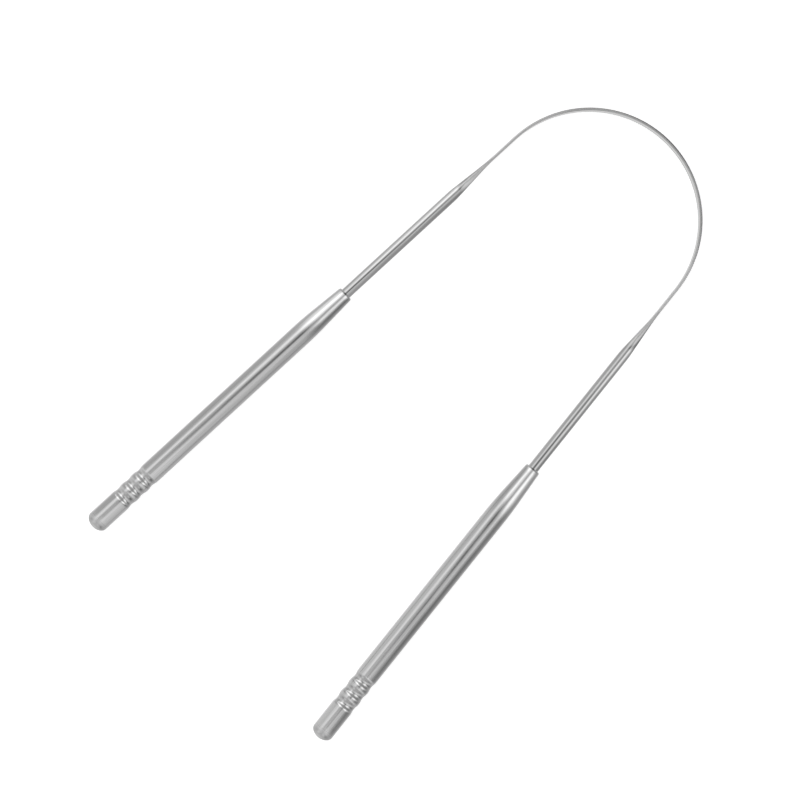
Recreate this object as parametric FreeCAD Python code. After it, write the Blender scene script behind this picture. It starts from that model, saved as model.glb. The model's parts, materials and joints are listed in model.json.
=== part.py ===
import FreeCAD, Part
import math
import os

from FreeCAD import Vector

# A U-shaped tongue scraper: one steel wire, pressed flat and bent to an arc in its middle, with a hollow
# tube handle swaged onto each end. It lies flat with the U in the XY plane, the arc towards +Y and the
# underside at Z = 0. Sizes are in millimetres and degrees.

# Driving dimensions of the wire bow
bow_radius = 24.65        # centre line of the band's arc
leg_splay = 4.4           # lean of each leg away from the middle plane
band_thickness = 0.6
band_width = 5.0
edge_bulge = 0.12         # how far the band's rounded edges stand past its flat faces
flat_run = 6.0            # straight band between the arc and the pressed taper
press_angle = 5.0         # slope of the pressed flats
press_radius = 45.0       # blend of that slope into the flat band
spread_run = 11.0         # length over which the pressed wire widens
wire_diameter = 2.5
rod_run = 32.0            # round wire that shows between the pressed taper and the handle
tail_length = 20.0        # round wire inside the handle
tail_chamfer = 0.3

# Driving dimensions of a handle
handle_length = 76.5
handle_diameter = 5.0
handle_wall = 0.5
nose_angle = 3.65         # slope of the swaged nose
nose_blend_radius = 90.0  # blend of that slope into the tube
lip_wall = 0.53           # wall of the swaged mouth
lip_radius = 0.42
throat_length = 3.0       # stretch of the nose that grips the wire
throat_clearance = 0.02   # radial, between the wire and the throat
butt_dome = 1.8           # height of the spun butt
butt_wall = 0.8
groove_count = 3
groove_first = 9.8        # from the butt's end to the first groove
groove_pitch = 3.1
groove_land = 0.2         # plain tube left between two rolled grooves
groove_depth = 0.2

# Sizes that follow from them
wire_radius = wire_diameter / 2
handle_radius = handle_diameter / 2
throat_radius = wire_radius + throat_clearance
mouth_radius = throat_radius + lip_wall
splay = math.radians(leg_splay)
press_slope = math.radians(press_angle)
nose_slope = math.radians(nose_angle)
press_blend_run = press_radius * math.sin(press_slope)
press_blend_rise = press_radius * (1 - math.cos(press_slope))
press_rise = wire_radius - band_thickness / 2
press_run = press_blend_run + (press_rise - press_blend_rise) / math.tan(press_slope)
leg_run = flat_run + press_run + rod_run
nose_blend_run = nose_blend_radius * math.sin(nose_slope)
nose_blend_drop = nose_blend_radius * (1 - math.cos(nose_slope))
cone_run = (handle_radius - mouth_radius - nose_blend_drop) / math.tan(nose_slope)
nose_run = cone_run + nose_blend_run
groove_half_width = (groove_pitch - groove_land) / 2
groove_turn = 2 * math.atan(groove_depth / groove_half_width)
groove_radius = groove_half_width / (2 * math.sin(groove_turn))
edge_angle = math.acos(1 - 2 * edge_bulge / band_width)
spread_half_depth = band_thickness / 2 / math.sin(edge_angle)
axis_height = max(handle_diameter, band_width) / 2

X_AXIS = Vector(1, 0, 0)
Y_AXIS = Vector(0, 1, 0)
Z_AXIS = Vector(0, 0, 1)
ORIGIN = Vector(0, 0, 0)


def line(start, end):
    return Part.LineSegment(start, end).toShape()


def arc(centre, radius, first, last):
    """Circular arc in the XY plane from angle first to angle last, in radians."""
    angles = (first, (first + last) / 2, last)
    points = [centre + Vector(radius * math.cos(a), radius * math.sin(a), 0) for a in angles]
    return Part.Arc(*points).toShape()


def conic(start, corner, end, weight):
    """Exact elliptical arc, tangent to start-corner and corner-end."""
    curve = Part.BezierCurve()
    curve.setPoles([start, corner, end])
    curve.setWeight(2, weight)
    return curve.toShape()


def face(edges):
    return Part.Face(Part.Wire(Part.__sortEdges__(edges)))


def band_section():
    """Cross-section of the flat band in the YZ plane: two flats joined by bulged edges."""
    y = band_thickness / 2
    z = band_width / 2 - edge_bulge
    corner = band_width / 2 / math.cos(edge_angle)
    weight = math.cos(edge_angle)
    return face([
        line(Vector(0, y, -z), Vector(0, y, z)),
        conic(Vector(0, y, z), Vector(0, 0, corner), Vector(0, -y, z), weight),
        line(Vector(0, -y, z), Vector(0, -y, -z)),
        conic(Vector(0, -y, -z), Vector(0, 0, -corner), Vector(0, y, -z), weight),
    ])


def band_arc():
    """The scraping arc: the band's section turned about the centre of the U."""
    section = band_section()
    section.rotate(ORIGIN, Z_AXIS, -90)
    section.translate(X_AXIS * bow_radius)
    section.rotate(ORIGIN, Z_AXIS, leg_splay)
    return section.revolve(ORIGIN, Z_AXIS, 180 - 2 * leg_splay)


def spread_ring(position, share):
    """Outline of the wire where it has widened by a share of the way from round to band width."""
    half_width = wire_radius + (band_width / 2 - wire_radius) * share
    half_depth = wire_radius + (spread_half_depth - wire_radius) * share
    centre = X_AXIS * position
    ellipse = Part.Ellipse(centre + Z_AXIS * half_width, centre + Y_AXIS * half_depth, centre)
    return Part.Wire(ellipse.toShape())


def spread_wire():
    """The wire as it spreads under the press, before the flats are cut: round rod, widening to the band."""
    stations = (0, 0.1, 0.3, 0.5, 0.7, 0.9, 1)
    rings = []
    for along in stations:
        share = 1 - along * along * (3 - 2 * along)
        rings.append(spread_ring(flat_run + along * spread_run, share))
    widening = Part.makeLoft(rings, True)
    rod_start = flat_run + spread_run
    rod_end = leg_run + tail_length
    corners = [
        Vector(rod_start, 0, 0),
        Vector(rod_start, wire_radius, 0),
        Vector(rod_end - tail_chamfer, wire_radius, 0),
        Vector(rod_end, wire_radius - tail_chamfer, 0),
        Vector(rod_end, 0, 0),
    ]
    rod = Part.Face(Part.makePolygon(corners + corners[:1])).revolve(ORIGIN, X_AXIS, 360)
    return widening.fuse(rod)


def press_jaws():
    """The space between the press jaws: as thin as the band, then opening along a slope past the wire."""
    down = -math.pi / 2
    jaw_end = leg_run + tail_length + wire_diameter
    blend_start = Vector(flat_run, band_thickness / 2, 0)
    blend = arc(blend_start + Y_AXIS * press_radius, press_radius, down, down + press_slope)
    slope_start = blend.Vertexes[-1].Point
    slope_run = jaw_end - slope_start.x
    slope_end = slope_start + Vector(slope_run, slope_run * math.tan(press_slope), 0)
    upper = [blend, line(slope_start, slope_end)]
    lower = [edge.mirror(ORIGIN, Y_AXIS) for edge in upper]
    ends = [line(point, Vector(point.x, -point.y, 0)) for point in (blend_start, slope_end)]
    outline = face(upper + lower + ends)
    outline.translate(Z_AXIS * -band_width)
    return outline.extrude(Z_AXIS * 2 * band_width)


def leg():
    """One leg along X from the end of the arc: flat band, pressed taper, round rod and tail."""
    flat = band_section().extrude(X_AXIS * flat_run)
    return flat.fuse(spread_wire().common(press_jaws()))


def groove_edges(centre, inset):
    """One rolled groove in the tube's profile, inset by part of the wall: shoulder, valley, shoulder."""
    up = math.pi / 2
    shoulder = groove_radius - inset
    valley = groove_radius + inset
    near = Vector(centre - groove_half_width, handle_radius - groove_radius, 0)
    far = Vector(centre + groove_half_width, handle_radius - groove_radius, 0)
    over = Vector(centre, handle_radius - groove_depth + groove_radius, 0)
    return [
        arc(near, shoulder, up, up - groove_turn),
        arc(over, valley, -up - groove_turn, -up + groove_turn),
        arc(far, shoulder, up + groove_turn, up),
    ]


def tube_profile(inset, end):
    """The tube's profile from the nose's cone to the middle of the butt, inset by part of the wall."""
    radius = handle_radius - inset
    blend_centre = Vector(nose_run, handle_radius - nose_blend_radius, 0)
    edges = [arc(blend_centre, nose_blend_radius - inset, math.pi / 2 + nose_slope, math.pi / 2)]
    for number in reversed(range(groove_count)):
        groove = groove_edges(handle_length - groove_first - number * groove_pitch, inset)
        edges.append(line(edges[-1].Vertexes[-1].Point, groove[0].Vertexes[0].Point))
        edges.extend(groove)
    dome_start = Vector(end - butt_dome, radius, 0)
    edges.append(line(edges[-1].Vertexes[-1].Point, dome_start))
    edges.append(conic(dome_start, Vector(end, radius, 0), Vector(end, 0, 0), math.sqrt(0.5)))
    return edges


def handle():
    """One handle along X, its mouth at X = 0: swaged nose, plain tube, rolled grooves and spun butt."""
    outside = tube_profile(0, handle_length)
    inside = tube_profile(handle_wall, handle_length - butt_wall)
    lip_height = mouth_radius + lip_radius * (math.tan(nose_slope) - 1 / math.cos(nose_slope))
    lip = arc(Vector(lip_radius, lip_height, 0), lip_radius, math.pi, math.pi / 2 + nose_slope)
    throat_start = Vector(0, throat_radius, 0)
    throat_end = Vector(throat_length, throat_radius, 0)
    rim = line(throat_start, Vector(0, lip_height, 0))
    cone = line(lip.Vertexes[-1].Point, outside[0].Vertexes[0].Point)
    butt = line(Vector(handle_length, 0, 0), Vector(handle_length - butt_wall, 0, 0))
    funnel = line(inside[0].Vertexes[0].Point, throat_end)
    throat = line(throat_end, throat_start)
    edges = [rim, lip, cone] + outside + [butt] + inside + [funnel, throat]
    return face(edges).revolve(ORIGIN, X_AXIS, 360)


def on_right_leg(shape):
    """Places a shape made along X on the right leg, which leaves the arc at its tangent."""
    placed = shape.copy()
    placed.rotate(ORIGIN, Z_AXIS, leg_splay - 90)
    placed.translate(Vector(bow_radius * math.cos(splay), bow_radius * math.sin(splay), 0))
    return placed


def mirrored(shape):
    return shape.mirror(ORIGIN, X_AXIS)


def place_of_origin():
    """Moves the arc's centre so that the origin is under the middle of the whole part."""
    crown = bow_radius + band_thickness / 2
    dome_base = bow_radius * math.sin(splay) - (leg_run + handle_length - butt_dome) * math.cos(splay)
    butt = dome_base - math.hypot(butt_dome * math.cos(splay), handle_radius * math.sin(splay))
    return Vector(0, -(crown + butt) / 2, axis_height)


def main():
    right_leg = on_right_leg(leg())
    handle_on_leg = handle()
    handle_on_leg.translate(X_AXIS * leg_run)
    right_handle = on_right_leg(handle_on_leg)
    nodes = {
        "scraper_bow": band_arc().fuse([right_leg, mirrored(right_leg)]).removeSplitter(),
        "left_handle": mirrored(right_handle),
        "right_handle": right_handle,
    }
    os.makedirs("parts", exist_ok=True)
    for name, shape in nodes.items():
        shape.translate(place_of_origin())
        shape.exportStep(f"parts/{name}.step")


main()
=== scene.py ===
import json
import math

import bmesh
import bpy
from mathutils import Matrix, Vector


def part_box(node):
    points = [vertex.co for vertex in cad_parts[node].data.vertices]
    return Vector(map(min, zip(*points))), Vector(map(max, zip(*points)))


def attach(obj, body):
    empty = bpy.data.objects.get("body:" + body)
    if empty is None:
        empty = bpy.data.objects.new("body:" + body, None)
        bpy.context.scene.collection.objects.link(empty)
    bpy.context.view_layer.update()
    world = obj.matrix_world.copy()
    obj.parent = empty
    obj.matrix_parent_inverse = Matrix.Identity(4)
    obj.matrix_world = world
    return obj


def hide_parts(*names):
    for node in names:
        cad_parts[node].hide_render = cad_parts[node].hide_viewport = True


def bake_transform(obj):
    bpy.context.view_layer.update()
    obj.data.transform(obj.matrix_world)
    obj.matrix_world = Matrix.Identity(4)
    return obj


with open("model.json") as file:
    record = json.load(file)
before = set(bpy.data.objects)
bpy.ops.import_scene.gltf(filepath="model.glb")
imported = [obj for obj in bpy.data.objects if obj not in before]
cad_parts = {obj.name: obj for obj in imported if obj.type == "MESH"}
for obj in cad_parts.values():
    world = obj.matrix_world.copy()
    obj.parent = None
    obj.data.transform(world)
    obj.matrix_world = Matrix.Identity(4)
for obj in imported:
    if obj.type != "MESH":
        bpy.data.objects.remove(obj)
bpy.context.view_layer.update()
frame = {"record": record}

# A U-shaped steel tongue scraper that lies flat on a pale floor, seen from straight above: one wire,
# pressed flat and bent to an arc in its middle, with a tube handle on each end. Sizes are in metres, and
# angles in radians.

MM = 0.001
UP = Vector((0, 0, 1))
QUARTER_TURN = math.pi / 2
SIDES = {"left": -1, "right": 1}   # the sign of X on each side
WHITE = (1, 1, 1, 1)

# The wire bow
bow_radius = 24.65 * MM            # centre line of the band's arc
leg_splay = math.radians(4.4)      # lean of each leg away from the middle plane
band_thickness = 0.6 * MM
band_width = 5.0 * MM
edge_bulge = 0.12 * MM             # how far the band's rounded edges stand past its flat faces
edge_rounding = 0.05 * MM          # soft corner between a pressed flat and the rounded edge
flat_run = 6.0 * MM                # straight band between the arc and the pressed taper
press_slope = math.radians(5.0)    # slope of the pressed flats
press_radius = 45.0 * MM           # blend of that slope into the flat band
spread_run = 11.0 * MM             # length over which the pressed wire widens
wire_radius = 1.25 * MM
rod_run = 32.0 * MM                # round wire that shows between the pressed taper and the handle
tail_length = 20.0 * MM            # round wire inside the handle
tail_chamfer = 0.3 * MM

# A handle
handle_length = 76.5 * MM
handle_wall = 0.5 * MM
nose_slope = math.radians(3.65)    # slope of the swaged nose
nose_blend_radius = 90.0 * MM      # blend of that slope into the tube
lip_wall = 0.53 * MM               # wall of the swaged mouth
lip_radius = 0.42 * MM
throat_length = 3.0 * MM           # stretch of the nose that grips the wire
throat_clearance = 0.02 * MM       # radial, between the wire and the throat
butt_dome = 1.8 * MM               # height of the spun butt
butt_wall = 0.8 * MM
groove_count = 3
groove_first = 9.8 * MM            # from the butt's end to the first groove
groove_pitch = 3.1 * MM
groove_land = 0.2 * MM             # plain tube left between two rolled grooves
groove_depth = 0.2 * MM

# Steps of the meshes: along the bow, round a quarter of its section, along a handle's profile and round it
bow_steps = {"arc": 80, "flat": 6, "press": 56, "rod": 10, "tail": 5}
section_steps = {"flat": 6, "corner": 4, "edge": 9}
profile_steps = {"lip": 10, "cone": 8, "blend": 10, "plain": 4, "shoulder": 8, "valley": 16, "dome": 16}
round_steps = 96
least_corner = math.radians(14)    # least angle that the steps of a flat are spread over
sharp_angle = math.radians(35)     # edges that turn by more than this are shaded as corners

# The finish of each steel: faint lines along it, the greys and the roughness that they vary between, and
# the marks between which it is dimmed, with the factors there
# On the tubes this dimming is painted shade in the rolled grooves; on the wire it is the band's duller
# edges
line_detail = 3
line_noise = (0.3, 0.7)            # part of the noise that shows as lines
line_brightness = (0.75, 1.0)      # share of the way from the dark grey to the light one
tube_finish = {
    "line_width": 0.14 * MM,
    "line_length": 16 * MM,
    "line_depth": 0.0001 * MM,
    "greys": (0.3, 0.58),
    "polish": (0.11, 0.15),
    # painted shade: the tube's colour darkens towards the bottoms of its rolled grooves
    "marks": (0.2, 1.0),
    "dimming": (1.0, 0.9),
}
wire_finish = {
    "line_width": 0.1 * MM,
    "line_length": 12 * MM,
    "line_depth": 0.00008 * MM,
    "greys": (0.1, 0.6),
    "polish": (0.09, 0.13),
    "marks": (0.0, 1.0),
    "dimming": (1.0, 0.8),
}
haze_width = 3 * MM                # hazy patches on the tubes, from handling
haze_length = 9 * MM
haze_detail = 2
haze_noise = (0.35, 0.7)           # part of the noise that shows as haze
haze_roughness = 0.04
butt_roughness = 0.2               # added on the spun butts
edge_roughness = 0.15              # added on the band's rounded edges

# The photograph's view: straight down on the part
photo_width = 177.8 * MM           # width of the view where the part lies
photo_centre = Vector((-3.55 * MM, -7.8 * MM, 0))
photo_turn = math.radians(43.05)   # turn of the view about Z
camera_height = 0.75
sensor_width = 36.0                # in millimetres, like the focal length

# What the steel mirrors above the horizon: the room's level, how it changes along X, Y and Z, and its soft
# lamps, each with the direction (x, y) of its middle, its reach along x and y, and its strength. A negative
# strength is a dim place. Lamps in a pair are given on the right and stand on the left as well.
room_level = 0.54
room_slant = (-0.17, -0.15, 0.03)
room_lamps = {
    "left window": ((-0.61, -0.05), (0.34, 0.55), 0.55),
    "left lamp": ((-0.54, 0.17), (0.75, 0.17), 1.4),
    "right lamp": ((0.58, 0.17), (0.55, 0.20), 1.6),
    "front wall": ((0.45, -0.17), (1.0, 0.26), 0.65),
    "camera": ((0.0, -0.01), (0.36, 0.08), -0.65),
    "camera stand": ((0.14, -0.08), (0.17, 0.10), -0.3),
    "dim far end": ((0.0, 0.80), (1.4, 0.45), -0.42),
}
room_pairs = {
    "far lamp": ((0.42, 0.72), (0.32, 0.28), 0.9),
    "near lamp": ((0.42, -0.72), (0.32, 0.26), 0.7),
    "dim near corner": ((0.78, -0.66), (0.28, 0.30), -0.45),
}

# What it mirrors below the horizon: the floor, in the same terms
floor_level = 0.62
floor_slant = (-0.13, 0.0, -0.12)
floor_lamps = {
    "far floor": ((0.0, 0.85), (0.65, 0.5), 0.25),
    "near floor": ((0.0, -0.85), (0.65, 0.5), 0.3),
}
floor_pairs = {
    "side floor": ((0.62, 0.0), (0.28, 0.6), 0.3),
}

# What it mirrors in both halves at the two ends of the horizon: dim at the back, bright at the front
end_pairs = {
    "dim back": ((1.0, 0.03), (0.45, 0.14), -0.17),
    "bright front": ((1.0, -0.22), (0.45, 0.20), 0.17),
}
horizon_blur = 0.04

# The floor itself
floor_reach = 4.0
floor_drop = 0.01 * MM             # gap between the floor and the part
floor_grey = 0.9
floor_roughness = 0.9
floor_glow = 0.6

# Sizes that follow from them
mounts = {mount["name"]: mount for mount in frame["record"]["mounts"]}
handle_radius = mounts["right_grip"]["dims"]["r_mm"] * MM
throat_radius = wire_radius + throat_clearance
mouth_radius = throat_radius + lip_wall
press_blend_run = press_radius * math.sin(press_slope)
press_blend_rise = press_radius * (1 - math.cos(press_slope))
press_rise = wire_radius - band_thickness / 2
press_run = press_blend_run + (press_rise - press_blend_rise) / math.tan(press_slope)
leg_run = flat_run + press_run + rod_run
nose_blend_run = nose_blend_radius * math.sin(nose_slope)
nose_blend_drop = nose_blend_radius * (1 - math.cos(nose_slope))
cone_run = (handle_radius - mouth_radius - nose_blend_drop) / math.tan(nose_slope)
nose_run = cone_run + nose_blend_run
groove_half_width = (groove_pitch - groove_land) / 2
groove_turn = 2 * math.atan(groove_depth / groove_half_width)
groove_radius = groove_half_width / (2 * math.sin(groove_turn))
edge_angle = math.acos(1 - 2 * edge_bulge / band_width)
spread_half_depth = band_thickness / 2 / math.sin(edge_angle)
arc_length = bow_radius * (QUARTER_TURN - leg_splay)

# Places in the frame, on the middle plane and on the right
bow_low, bow_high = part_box("scraper_bow")
axis_height = (bow_low.z + bow_high.z) / 2
arc_centre = Vector((0, bow_high.y - bow_radius - band_thickness / 2, axis_height))
out_of_arc = Vector((math.cos(leg_splay), math.sin(leg_splay), 0))
down_leg = Vector((math.sin(leg_splay), -math.cos(leg_splay), 0))
leg_start = arc_centre + out_of_arc * bow_radius
mouth = leg_start + down_leg * leg_run


# Points and meshes


def spaced(start, end, steps):
    """Even values from start to end, both included."""
    return [start + (end - start) * i / steps for i in range(steps + 1)]


def on_side(point, side):
    """A point of the right half, or its mirror image on the left."""
    return Vector((point.x * side, point.y, point.z))


def ring_mesh(name, rings):
    """A mesh through rings of points. A ring of one point is a pole, and a longer end ring is closed flat.

    Each point comes with its place on the straightened piece and a mark from 0 to 1, for its material.
    """
    work = bmesh.new()
    place_layer = work.verts.layers.float_vector.new("place")
    mark_layer = work.verts.layers.float.new("mark")
    rows = []
    for ring in rings:
        row = []
        for point, place, mark in ring:
            vertex = work.verts.new(point)
            vertex[place_layer] = place
            vertex[mark_layer] = mark
            row.append(vertex)
        rows.append(row)
    for first, second in zip(rows, rows[1:]):
        count = max(len(first), len(second))
        for i in range(count):
            j = (i + 1) % count
            around = ((first, i), (first, j), (second, j), (second, i))
            corners = [row[step % len(row)] for row, step in around]
            work.faces.new(list(dict.fromkeys(corners)))
    for end in (rows[0], rows[-1]):
        if len(end) > 1:
            work.faces.new(end)
    bmesh.ops.recalc_face_normals(work, faces=work.faces)
    mesh = bpy.data.meshes.new(name)
    work.to_mesh(mesh)
    work.free()
    mesh.shade_smooth()
    mesh.set_sharp_from_angle(angle=sharp_angle)
    piece = bpy.data.objects.new(name, mesh)
    bpy.context.scene.collection.objects.link(piece)
    return piece


# The wire bow


def pressed_section(run):
    """Half width, half depth, half gap between the press jaws and share spread, at a run down the leg."""
    past_flat = max(run - flat_run, 0)
    along = min(past_flat / spread_run, 1)
    share = 1 - along * along * (3 - 2 * along)
    half_width = wire_radius + (band_width / 2 - wire_radius) * share
    half_depth = wire_radius + (spread_half_depth - wire_radius) * share
    if past_flat < press_blend_run:
        rise = press_radius - math.sqrt(press_radius ** 2 - past_flat ** 2)
    else:
        rise = press_blend_rise + (past_flat - press_blend_run) * math.tan(press_slope)
    return half_width, half_depth, band_thickness / 2 + rise, share


def soft_limit(depth, limit):
    """Holds a depth within a limit, with a soft corner where it reaches it."""
    over = abs(depth) - limit
    if over <= -edge_rounding:
        held = abs(depth)
    elif over >= edge_rounding:
        held = limit
    else:
        held = abs(depth) - (over + edge_rounding) ** 2 / (4 * edge_rounding)
    return math.copysign(held, depth)


def section_angles(half_depth, half_gap):
    """Angles round one section, close together at the corners of the flats."""
    corner = max(math.acos(min(half_gap / half_depth, 1)), least_corner)
    spread = min(edge_rounding / (half_depth * math.sin(corner)), corner / 3)
    quarter = spaced(0, corner - spread, section_steps["flat"])[:-1]
    quarter += spaced(corner - spread, corner + spread, section_steps["corner"])[:-1]
    quarter += spaced(corner + spread, QUARTER_TURN, section_steps["edge"])[:-1]
    half = quarter + [QUARTER_TURN] + [math.pi - angle for angle in reversed(quarter[1:])]
    return half + [math.pi + angle for angle in half]


def bow_stations():
    """Distances from the apex of the arc, close together where the bow bends or changes its section."""
    stretches = {
        "arc": arc_length,
        "flat": flat_run,
        "press": press_run,
        "rod": rod_run,
        "tail": tail_length - tail_chamfer,
    }
    stations = [0.0]
    for stretch, length in stretches.items():
        start = stations[-1]
        stations += spaced(start, start + length, bow_steps[stretch])[1:]
    return stations + [stations[-1] + tail_chamfer]


def centre_line(distance):
    """Centre and outward direction of the right half of the bow, at a distance from its apex."""
    if distance < arc_length:
        angle = QUARTER_TURN - distance / bow_radius
        outward = Vector((math.cos(angle), math.sin(angle), 0))
        return arc_centre + outward * bow_radius, outward
    return leg_start + down_leg * (distance - arc_length), out_of_arc


def bow_ring(distance, trim, side):
    """Points round the bow at a distance from its apex, trimmed all round, with the band's edges marked."""
    centre, outward = centre_line(distance)
    half_width, half_depth, half_gap, share = pressed_section(distance - arc_length)
    half_width -= trim
    half_depth -= trim
    ring = []
    for angle in section_angles(half_depth, half_gap):
        round_depth = half_depth * math.cos(angle)
        depth = soft_limit(round_depth, half_gap)
        height = half_width * math.sin(angle)
        point = on_side(centre + outward * depth + UP * height, side)
        place = Vector((depth, height, side * distance))
        pressed = min(abs(round_depth - depth) / edge_rounding, 1)
        ring.append((point, place, share * (1 - pressed)))
    return ring


def half_bow(side_name):
    """Half of the wire bow: band, pressed taper, rod, and the tail inside the handle."""
    side = SIDES[side_name]
    *stations, tail_end = bow_stations()
    rings = [bow_ring(distance, 0, side) for distance in stations]
    rings.append(bow_ring(tail_end, tail_chamfer, side))
    piece = ring_mesh(f"bow_half_{side_name}", rings)
    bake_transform(piece)
    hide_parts("scraper_bow")
    return piece


# The handles


def arc_points(centre, radius, first, last, steps):
    """Points on a circular arc as (along, height), both ends included."""
    angles = spaced(first, last, steps)
    return [(centre[0] + radius * math.cos(a), centre[1] + radius * math.sin(a)) for a in angles]


def line_points(start, end, steps):
    """Points between start and end, which are left out."""
    shares = spaced(0, 1, steps)[1:-1]
    return [(start[0] + (end[0] - start[0]) * s, start[1] + (end[1] - start[1]) * s) for s in shares]


def groove_points(centre, inset):
    """One rolled groove: a rounded shoulder, the valley, and the other shoulder."""
    up, down = QUARTER_TURN, -QUARTER_TURN
    shoulder, valley = groove_radius - inset, groove_radius + inset
    near_centre = (centre - groove_half_width, handle_radius - groove_radius)
    far_centre = (centre + groove_half_width, handle_radius - groove_radius)
    valley_centre = (centre, handle_radius - groove_depth + groove_radius)
    shoulder_steps, valley_steps = profile_steps["shoulder"], profile_steps["valley"]
    near = arc_points(near_centre, shoulder, up, up - groove_turn, shoulder_steps)
    bottom = arc_points(valley_centre, valley, down - groove_turn, down + groove_turn, valley_steps)
    far = arc_points(far_centre, shoulder, up + groove_turn, up, shoulder_steps)
    return near + bottom[1:] + far[1:]


def dome_points(start, end, radius):
    """The spun butt from the tube to its middle: a quarter of an ellipse."""
    turns = spaced(0, QUARTER_TURN, profile_steps["dome"])[:-1]
    points = [(start + butt_dome * math.sin(turn), radius * math.cos(turn)) for turn in turns]
    return points + [(end, 0)]


def tube_points(inset, end):
    """The tube's profile from the nose's cone to the middle of the butt, inset by part of the wall."""
    up = QUARTER_TURN
    blend_centre = (nose_run, handle_radius - nose_blend_radius)
    blend_radius = nose_blend_radius - inset
    points = arc_points(blend_centre, blend_radius, up + nose_slope, up, profile_steps["blend"])
    stretches = []
    for number in reversed(range(groove_count)):
        stretches.append(groove_points(handle_length - groove_first - number * groove_pitch, inset))
    stretches.append(dome_points(end - butt_dome, end, handle_radius - inset))
    for stretch in stretches:
        points += line_points(points[-1], stretch[0], profile_steps["plain"]) + stretch
    return points


def handle_profile():
    """The wall of a handle as one line (along, height).

    It runs from the middle of the butt inside, out through the mouth, to the middle of the butt outside.
    """
    outside = tube_points(0, handle_length)
    inside = tube_points(handle_wall, handle_length - butt_wall)
    lip_height = mouth_radius + lip_radius * (math.tan(nose_slope) - 1 / math.cos(nose_slope))
    lip_end = QUARTER_TURN + nose_slope
    lip = arc_points((lip_radius, lip_height), lip_radius, math.pi, lip_end, profile_steps["lip"])
    throat = [(throat_length, throat_radius), (0, throat_radius)]
    cone = line_points(lip[-1], outside[0], profile_steps["cone"])
    return inside[::-1] + throat + lip + cone + outside


def groove_shade_mark(along, height):
    """How deep a point of the tube lies in a rolled groove, from 0 to 1; it darkens the colour there as
    painted shade.
    """
    grooves_start = handle_length - groove_first - groove_count * groove_pitch
    in_grooves = grooves_start < along < handle_length - butt_dome
    return min(max((handle_radius - height) / groove_depth, 0), 1) if in_grooves else 0.0


def handle_ring(along, height, side):
    """Points round a handle at one point of its profile, marked in the grooves. A pole is one point."""
    steps = round_steps if height > 0 else 1
    # painted shade: the groove depth becomes the mark that darkens the tube's colour
    mark = groove_shade_mark(along, height)
    ring = []
    for turn in spaced(0, 2 * math.pi, steps)[:-1]:
        across, rise = height * math.cos(turn), height * math.sin(turn)
        point = on_side(mouth + down_leg * along + out_of_arc * across + UP * rise, side)
        place = Vector((across, rise, side * (along + leg_run)))
        ring.append((point, place, mark))
    return ring


def handle(side_name):
    """One handle: swaged nose, plain tube, rolled grooves and spun butt, turned about the leg's axis."""
    side = SIDES[side_name]
    node = f"{side_name}_handle"
    rings = [handle_ring(along, height, side) for along, height in handle_profile()]
    piece = ring_mesh(f"handle_tube_{side_name}", rings)
    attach(piece, node)
    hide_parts(node)
    return piece


# The materials


def new_material(name):
    """A material with nodes, and its shader."""
    material = bpy.data.materials.new(name)
    material.use_nodes = True
    return material, material.node_tree.nodes["Principled BSDF"]


def attribute(tree, name, output):
    """A value that the mesh keeps at each of its points."""
    node = tree.nodes.new("ShaderNodeAttribute")
    node.attribute_name = name
    return node.outputs[output]


def stretched_noise(tree, across_size, along_size, detail):
    """Noise on the straightened piece, with grains of the given size across and along it."""
    scaled = tree.nodes.new("ShaderNodeMapping")
    scaled.inputs["Scale"].default_value = (1 / across_size, 1 / across_size, 1 / along_size)
    noise = tree.nodes.new("ShaderNodeTexNoise")
    noise.inputs["Scale"].default_value = 1.0
    noise.inputs["Detail"].default_value = detail
    tree.links.new(attribute(tree, "place", "Vector"), scaled.inputs["Vector"])
    tree.links.new(scaled.outputs["Vector"], noise.inputs["Vector"])
    return noise.outputs["Fac"]


def ranged(tree, value, span, levels):
    """Goes evenly from the first level to the second as a value goes through a span."""
    node = tree.nodes.new("ShaderNodeMapRange")
    for name, number in zip(("From Min", "From Max", "To Min", "To Max"), span + levels):
        node.inputs[name].default_value = number
    tree.links.new(value, node.inputs["Value"])
    return node.outputs["Result"]


def joined(tree, operation, first, second):
    """Two values added or multiplied."""
    node = tree.nodes.new("ShaderNodeMath")
    node.operation = operation
    tree.links.new(first, node.inputs[0])
    tree.links.new(second, node.inputs[1])
    return node.outputs["Value"]


def added(tree, first, *others):
    """The sum of several values."""
    total = first
    for other in others:
        total = joined(tree, "ADD", total, other)
    return total


def down_leg_run(tree):
    """Distance along a straightened handle, from the start of its leg."""
    parts = tree.nodes.new("ShaderNodeSeparateXYZ")
    distance = tree.nodes.new("ShaderNodeMath")
    distance.operation = "ABSOLUTE"
    tree.links.new(attribute(tree, "place", "Vector"), parts.inputs["Vector"])
    tree.links.new(parts.outputs["Z"], distance.inputs[0])
    return distance.outputs["Value"]


def bumped(tree, shader, height, depth):
    """Raises the surface by a height from 0 to 1 times a depth in metres."""
    bump = tree.nodes.new("ShaderNodeBump")
    bump.inputs["Strength"].default_value = 1.0
    bump.inputs["Distance"].default_value = depth
    tree.links.new(height, bump.inputs["Height"])
    tree.links.new(bump.outputs["Normal"], shader.inputs["Normal"])


def tinted(tree, shader, value, greys):
    """Colours the surface between a dark and a light grey by a value from 0 to 1."""
    ramp = tree.nodes.new("ShaderNodeValToRGB")
    for element, grey in zip(ramp.color_ramp.elements, greys):
        element.color = (grey, grey, grey, 1)
    tree.links.new(value, ramp.inputs["Fac"])
    tree.links.new(ramp.outputs["Color"], shader.inputs["Base Color"])


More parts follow.
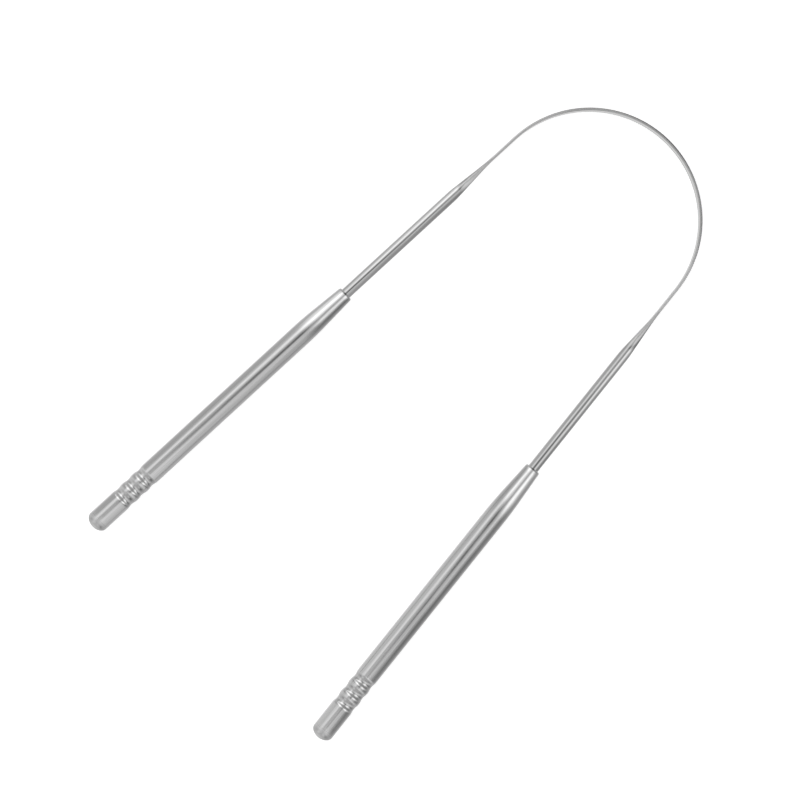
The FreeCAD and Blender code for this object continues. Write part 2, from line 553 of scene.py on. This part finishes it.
def lined_steel(name, line_width, line_length, line_depth, greys, polish, marks, dimming):
    """Polished steel with faint lines along it, dimmer where it is marked: painted shade in the tubes'
    grooves, duller rounded edges on the band.

    Gives the material, its shader and the roughness of its lines, which isn't linked yet.
    """
    material, shader = new_material(name)
    tree = material.node_tree
    shader.inputs["Metallic"].default_value = 1.0
    lines = stretched_noise(tree, line_width, line_length, line_detail)
    bright = ranged(tree, lines, line_noise, line_brightness)
    # painted shade on the tubes (darker groove bottoms); a duller finish on the band's edges
    dim = ranged(tree, attribute(tree, "mark", "Fac"), marks, dimming)
    tinted(tree, shader, joined(tree, "MULTIPLY", bright, dim), greys)
    bumped(tree, shader, lines, line_depth)
    return material, shader, ranged(tree, lines, line_noise, polish)


def tube_steel():
    """Satin tube: faint lines along it, hazy patches from handling, painted shade in the grooves and a dull
    spun butt.
    """
    material, shader, polish = lined_steel("satin_tube_steel", **tube_finish)
    tree = material.node_tree
    haze = stretched_noise(tree, haze_width, haze_length, haze_detail)
    smears = ranged(tree, haze, haze_noise, (0.0, haze_roughness))
    dome_start = leg_run + handle_length - butt_dome
    dulled = (dome_start - butt_dome / 2, dome_start)
    spun = ranged(tree, down_leg_run(tree), dulled, (0.0, butt_roughness))
    tree.links.new(added(tree, polish, smears, spun), shader.inputs["Roughness"])
    return material


def wire_steel():
    """Bright drawn wire: fine lines along it, and duller edges where the band was pressed."""
    material, shader, polish = lined_steel("bright_wire_steel", **wire_finish)
    tree = material.node_tree
    matte = ranged(tree, attribute(tree, "mark", "Fac"), wire_finish["marks"], (0.0, edge_roughness))
    tree.links.new(added(tree, polish, matte), shader.inputs["Roughness"])
    return material


# The floor, the light and the camera


def floor():
    """A wide pale floor just under the part. The steel mirrors the light below the horizon in its place."""
    outline = ((-1, -1), (1, -1), (1, 1), (-1, 1))
    corners = [(x * floor_reach, y * floor_reach, -floor_drop) for x, y in outline]
    mesh = bpy.data.meshes.new("floor")
    mesh.from_pydata(corners, [], [(0, 1, 2, 3)])
    plane = bpy.data.objects.new("floor", mesh)
    bpy.context.scene.collection.objects.link(plane)
    material, shader = new_material("pale_floor")
    shader.inputs["Base Color"].default_value = (floor_grey, floor_grey, floor_grey, 1)
    shader.inputs["Roughness"].default_value = floor_roughness
    shader.inputs["Emission Color"].default_value = WHITE
    shader.inputs["Emission Strength"].default_value = floor_glow
    mesh.materials.append(material)
    plane.visible_glossy = False


def both_sides(pairs):
    """The lamps of each pair, on the left and on the right."""
    lamps = []
    for (x, y), reach, strength in pairs.values():
        lamps += [((side * x, y), reach, strength) for side in SIDES.values()]
    return lamps


def glow(tree, direction, centre, reach, strength):
    """A soft lamp in the sky round the direction (x, y), which fades out at its reach."""
    shifted = tree.nodes.new("ShaderNodeVectorMath")
    shifted.operation = "MULTIPLY_ADD"
    shifted.inputs[1].default_value = (1 / reach[0], 1 / reach[1], 0)
    shifted.inputs[2].default_value = (-centre[0] / reach[0], -centre[1] / reach[1], 0)
    distance = tree.nodes.new("ShaderNodeVectorMath")
    distance.operation = "LENGTH"
    fade = tree.nodes.new("ShaderNodeMapRange")
    fade.interpolation_type = "SMOOTHSTEP"
    fade.inputs["To Min"].default_value = strength
    fade.inputs["To Max"].default_value = 0.0
    tree.links.new(direction, shifted.inputs[0])
    tree.links.new(shifted.outputs["Vector"], distance.inputs[0])
    tree.links.new(distance.outputs["Value"], fade.inputs["Value"])
    return fade.outputs["Result"]


def lit(tree, direction, level, slant, lamps):
    """Light from one half of the surroundings: a level that changes evenly along X, Y and Z, and lamps."""
    change = tree.nodes.new("ShaderNodeVectorMath")
    change.operation = "DOT_PRODUCT"
    change.inputs[1].default_value = slant
    tree.links.new(direction, change.inputs[0])
    even = ranged(tree, change.outputs["Value"], (-1.0, 1.0), (level - 1.0, level + 1.0))
    return added(tree, even, *[glow(tree, direction, *lamp) for lamp in lamps])


def sky():
    """The white room above the horizon, with its soft lamps, and the floor's light below it."""
    world = bpy.data.worlds.new("white_room")
    bpy.context.scene.world = world
    world.use_nodes = True
    tree = world.node_tree
    direction = tree.nodes.new("ShaderNodeTexCoord").outputs["Generated"]
    lamps_above = [*room_lamps.values(), *both_sides(room_pairs), *both_sides(end_pairs)]
    lamps_below = [*floor_lamps.values(), *both_sides(floor_pairs), *both_sides(end_pairs)]
    room = lit(tree, direction, room_level, room_slant, lamps_above)
    below = lit(tree, direction, floor_level, floor_slant, lamps_below)
    parts = tree.nodes.new("ShaderNodeSeparateXYZ")
    tree.links.new(direction, parts.inputs["Vector"])
    above = ranged(tree, parts.outputs["Z"], (-horizon_blur, horizon_blur), (0.0, 1.0))
    both = tree.nodes.new("ShaderNodeMix")
    tree.links.new(above, both.inputs["Factor"])
    tree.links.new(below, both.inputs["A"])
    tree.links.new(room, both.inputs["B"])
    background = tree.nodes["Background"]
    background.inputs["Color"].default_value = WHITE
    tree.links.new(both.outputs["Result"], background.inputs["Strength"])


def camera():
    """The photograph's camera, straight above the middle of its view."""
    data = bpy.data.cameras.new("photo_camera")
    data.sensor_width = sensor_width
    data.lens = sensor_width * (camera_height - axis_height) / photo_width
    eye = bpy.data.objects.new("photo_camera", data)
    eye.location = photo_centre + UP * camera_height
    eye.rotation_euler = (0, 0, photo_turn)
    bpy.context.scene.collection.objects.link(eye)
    bpy.context.scene.camera = eye


wire = wire_steel()
tube = tube_steel()
for side_name in SIDES:
    half_bow(side_name).data.materials.append(wire)
    handle(side_name).data.materials.append(tube)

floor()
sky()
camera()
bpy.context.scene.view_settings.view_transform = "Standard"
